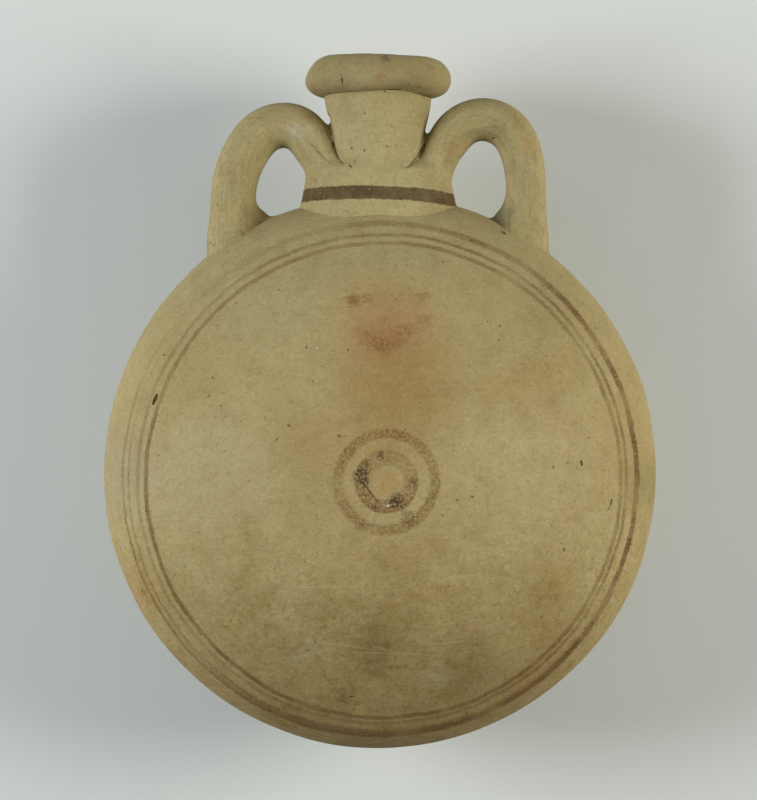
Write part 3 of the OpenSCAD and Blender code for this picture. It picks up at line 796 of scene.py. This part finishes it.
    # Wiping marks and scratches, most of them across the pot
    relief = add(tree, "Math", {0: patches, 1: 0.9}, operation="MULTIPLY")
    fields = add(tree, "MapRange", {0: blotches, 1: 0.35, 2: 0.6, 3: 0.35})
    for angle, length, width, low, high, shade, strength in SCRATCHES:
        along = add(tree, "Mapping", {0: mm, 2: (0.0, 0.0, math.radians(angle)),
                                      3: (length, width, 2.0)}, vector_type="TEXTURE")
        lines = add(tree, "TexNoise", {0: along, "Scale": 1.0, "Detail": 2.0, "Roughness": 0.5})
        mask = add(tree, "MapRange", {0: lines, 1: low, 2: high, 4: strength})
        mask = add(tree, "Math", {0: mask, 1: fields}, operation="MULTIPLY")
        colour = add(tree, "Mix", {0: mask, 6: colour, 7: (shade, shade, shade, 1.0)}, 2,
                     data_type="RGBA", blend_type="MULTIPLY")
        relief = add(tree, "Math", {0: lines, 1: 0.05, 2: relief}, operation="MULTIPLY_ADD")

    for px0, py0, px1, py1 in (SCORES if painted else ()):
        (ax, ay), (bx, by) = place_mm(px0, py0), place_mm(px1, py1)
        reach = math.hypot(bx - ax, by - ay) / 2
        turn = math.atan2(by - ay, bx - ax)
        line = add(tree, "Mapping", {0: flat, 1: ((ax + bx) / 2, (ay + by) / 2, 0.0),
                                     2: (0.0, 0.0, turn), 3: (reach, 0.22, 1.0)}, vector_type="TEXTURE")
        line = add(tree, "VectorMath", {0: line}, "Value", operation="LENGTH")
        line = add(tree, "Math", {0: rough, 1: 1.2, 2: line}, operation="MULTIPLY_ADD")
        mask = add(tree, "MapRange", {0: line, 1: 1.2, 2: 0.5, 4: 0.32})
        mask = add(tree, "Math", {0: mask, 1: front}, operation="MULTIPLY")
        colour = add(tree, "Mix", {0: mask, 6: colour, 7: srgb("#BFAE80")}, 2, data_type="RGBA")

    if painted:
        # Brown paint of the rings, worn and grainy
        broken = add(tree, "MapRange", {0: flecks, 1: 0.36, 2: 0.5, 3: 0.6})
        crumbs = add(tree, "TexNoise", {0: flat, "Scale": 1.25, "Detail": 4.0, "Roughness": 0.75})
        wobble = add(tree, "TexNoise", {0: flat, "Scale": 0.06, "Detail": 2.0})
        worn = add(tree, "TexNoise", {0: flat, "Scale": 0.07, "Detail": 4.0, "Roughness": 0.6})
        wear = add(tree, "MapRange", {0: worn, 1: 0.36, 2: 0.56, 3: 0.45})
        wear = add(tree, "Math", {0: wear, 1: broken}, operation="MULTIPLY")
        for cx, cy, radius, width, soft, dx, dy, faint, full, solid, dark in RINGS:
            away = add(tree, "VectorMath", {0: flat, 1: (cx, cy, 0.0)}, "Value", operation="DISTANCE")
            away = add(tree, "Math", {0: wobble, 1: 1.2, 2: away}, operation="MULTIPLY_ADD")
            away = add(tree, "Math", {0: rough, 1: 0.5, 2: away}, operation="MULTIPLY_ADD")
            off = add(tree, "Math", {0: away, 1: radius + 0.6}, operation="SUBTRACT")
            off = add(tree, "Math", {0: off}, operation="ABSOLUTE")
            mask = add(tree, "MapRange", {0: off, 1: width / 2 + soft, 2: width / 2 - soft},
                       interpolation_type="SMOOTHSTEP")
            lean = add(tree, "VectorMath", {0: flat, 1: (dx, dy, 0.0)}, "Value",
                       operation="DOT_PRODUCT")
            strength = add(tree, "MapRange", {0: lean, 1: -radius, 2: radius, 3: faint, 4: full})
            crumbly = add(tree, "MapRange", {0: crumbs, 1: 0.42, 2: 0.56, 3: solid})
            for factor in (strength, wear, crumbly, front):
                mask = add(tree, "Math", {0: mask, 1: factor}, operation="MULTIPLY")
            brown = add(tree, "Mix", {0: flecks, 6: srgb(dark), 7: srgb("#7E5826")}, 2,
                        data_type="RGBA")
            colour = add(tree, "Mix", {0: mask, 6: colour, 7: brown}, 2, data_type="RGBA")
        crumbs = add(tree, "MapRange", {0: crumbs, 1: 0.40, 2: 0.52, 3: 0.1})
        # Burnt spots of paint, and one painted highlight
        for burn_or_glint in BURNT_SPOTS_AND_GLINT:
            colour = spot(colour, *burn_or_glint, broken=crumbs)

    if band:
        # Dark band painted round the foot of the neck, bowed and a little lower on the right
        bow = add(tree, "Math", {0: x, 1: 0.0024, 2: 0.03}, operation="MULTIPLY_ADD")
        bow = add(tree, "Math", {0: bow, 1: x, 2: y}, operation="MULTIPLY_ADD")
        height = add(tree, "Math", {0: rough, 1: 0.6, 2: bow}, operation="MULTIPLY_ADD")
        off = add(tree, "Math", {0: height, 1: 75.9}, operation="SUBTRACT")
        off = add(tree, "Math", {0: off}, operation="ABSOLUTE")
        mask = add(tree, "MapRange", {0: off, 1: 2.05, 2: 1.6, 4: 0.9}, interpolation_type="SMOOTHSTEP")
        flecks = add(tree, "TexNoise", {0: mm, "Scale": 1.4, "Detail": 3.0, "Roughness": 0.7})
        broken = add(tree, "MapRange", {0: flecks, 1: 0.32, 2: 0.44, 3: 0.65})
        worn = add(tree, "TexNoise", {0: mm, "Scale": 0.12, "Detail": 3.0, "Roughness": 0.6})
        wear = add(tree, "MapRange", {0: worn, 1: 0.38, 2: 0.56, 3: 0.80})
        side = add(tree, "Math", {0: x, 1: -NECK_X / MM}, operation="ADD")
        side = add(tree, "Math", {0: side}, operation="ABSOLUTE")
        ends = add(tree, "MapRange", {0: side, 1: 23.5, 2: 20.5}, interpolation_type="SMOOTHSTEP")
        for factor in (broken, wear, ends):
            mask = add(tree, "Math", {0: mask, 1: factor}, operation="MULTIPLY")
        brown = add(tree, "Mix", {0: flecks, 6: srgb("#342110"), 7: srgb("#573E1E")}, 2,
                    data_type="RGBA")
        colour = add(tree, "Mix", {0: mask, 6: colour, 7: brown}, 2, data_type="RGBA")

    # Chaff pits and dark grits
    grits = add(tree, "TexNoise", {0: mm, "Scale": 0.8, "Detail": 1.0})
    grit = add(tree, "MapRange", {0: grits, 1: 0.76, 2: 0.80, 4: 0.7})
    colour = add(tree, "Mix", {0: grit, 6: colour, 7: srgb("#5E4C30")}, 2, data_type="RGBA")
    tree.links.new(colour, shader.inputs["Base Color"])
    shader.inputs["Roughness"].default_value = 0.82
    shader.inputs["Specular IOR Level"].default_value = 0.25

    relief = add(tree, "Math", {0: grain, 1: 0.2, 2: relief}, operation="MULTIPLY_ADD")
    relief = add(tree, "Math", {0: grit, 1: -0.25, 2: relief}, operation="MULTIPLY_ADD")
    bump = add(tree, "Bump", {"Height": relief, "Distance": 1 * MM, "Strength": 1.0})
    tree.links.new(bump, shader.inputs["Normal"])
    return material


# Pale marl clay, as fired. The front and the collar carry brown paint.
body_clay = marl_clay("marl clay, front with brown rings", painted=True, stains_and_painted_shading=TINTS)
back_clay = marl_clay("marl clay, plain back")
collar_clay = marl_clay("marl clay, collar with brown band", band=True, stains_and_painted_shading=COLLAR_TINTS)
neck_clay = marl_clay("marl clay, neck and rim", stains_and_painted_shading=RIM_TINTS)
handle_clay = marl_clay("marl clay, straps", strap_smears=True, stains_and_painted_shading=STRAP_TINTS)
inside_clay = marl_clay("marl clay, luting inside")

finish = {"front_bowl": (body_clay, "painted_clay"), "back_bowl": (back_clay, "body_clay"),
          "closing_plug": (body_clay, "painted_clay"), "neck": (neck_clay, "neck_clay"),
          "rim_roll": (neck_clay, "neck_clay"), "neck_collar": (collar_clay, "painted_clay"),
          "left_handle": (handle_clay, "handle_clay"), "right_handle": (handle_clay, "handle_clay")}
for node, piece in shown.items():
    piece.data.materials.clear()
    piece.data.materials.append(finish[node][0])
    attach(piece, "root")
    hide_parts(node)
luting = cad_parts["seam_luting"]
luting.data.materials.clear()
luting.data.materials.append(inside_clay)

# Pale paper that the flask lies on
bpy.ops.mesh.primitive_plane_add(size=6, location=(0, 0, 0))
floor = bpy.context.object
floor.name = floor.data.name = "paper"
paper = bpy.data.materials.new("matt paper")
paper.use_nodes = True
paper.node_tree.nodes["Principled BSDF"].inputs["Base Color"].default_value = srgb("#D7DCDA")
paper.node_tree.nodes["Principled BSDF"].inputs["Roughness"].default_value = 0.95
floor.data.materials.append(paper)


# Two broad soft lamps, cool on the left and warm on the right
def lamp(name, place, size, power, colour):
    light = bpy.data.lights.new(name, "AREA")
    light.shape = "SQUARE"
    light.size = size
    light.energy = power
    light.color = srgb(colour)[:3]
    holder = bpy.data.objects.new(name, light)
    bpy.context.collection.objects.link(holder)
    holder.location = place
    aim = Vector((0, 0.01, 0.03)) - Vector(place)
    holder.rotation_euler = aim.to_track_quat("-Z", "Y").to_euler()


lamp("left lamp", (-1.0, 0.12, 0.64), 0.5, 11.0, "#FBFDFF")
lamp("right lamp", (1.0, 0.12, 0.64), 0.5, 10.5, "#FFFBF1")
world = bpy.data.worlds.new("room")
bpy.context.scene.world = world
world.use_nodes = True
world.node_tree.nodes["Background"].inputs[0].default_value = srgb("#F2F4F4")
world.node_tree.nodes["Background"].inputs[1].default_value = 0.175

bpy.context.scene.view_settings.view_transform = "Standard"
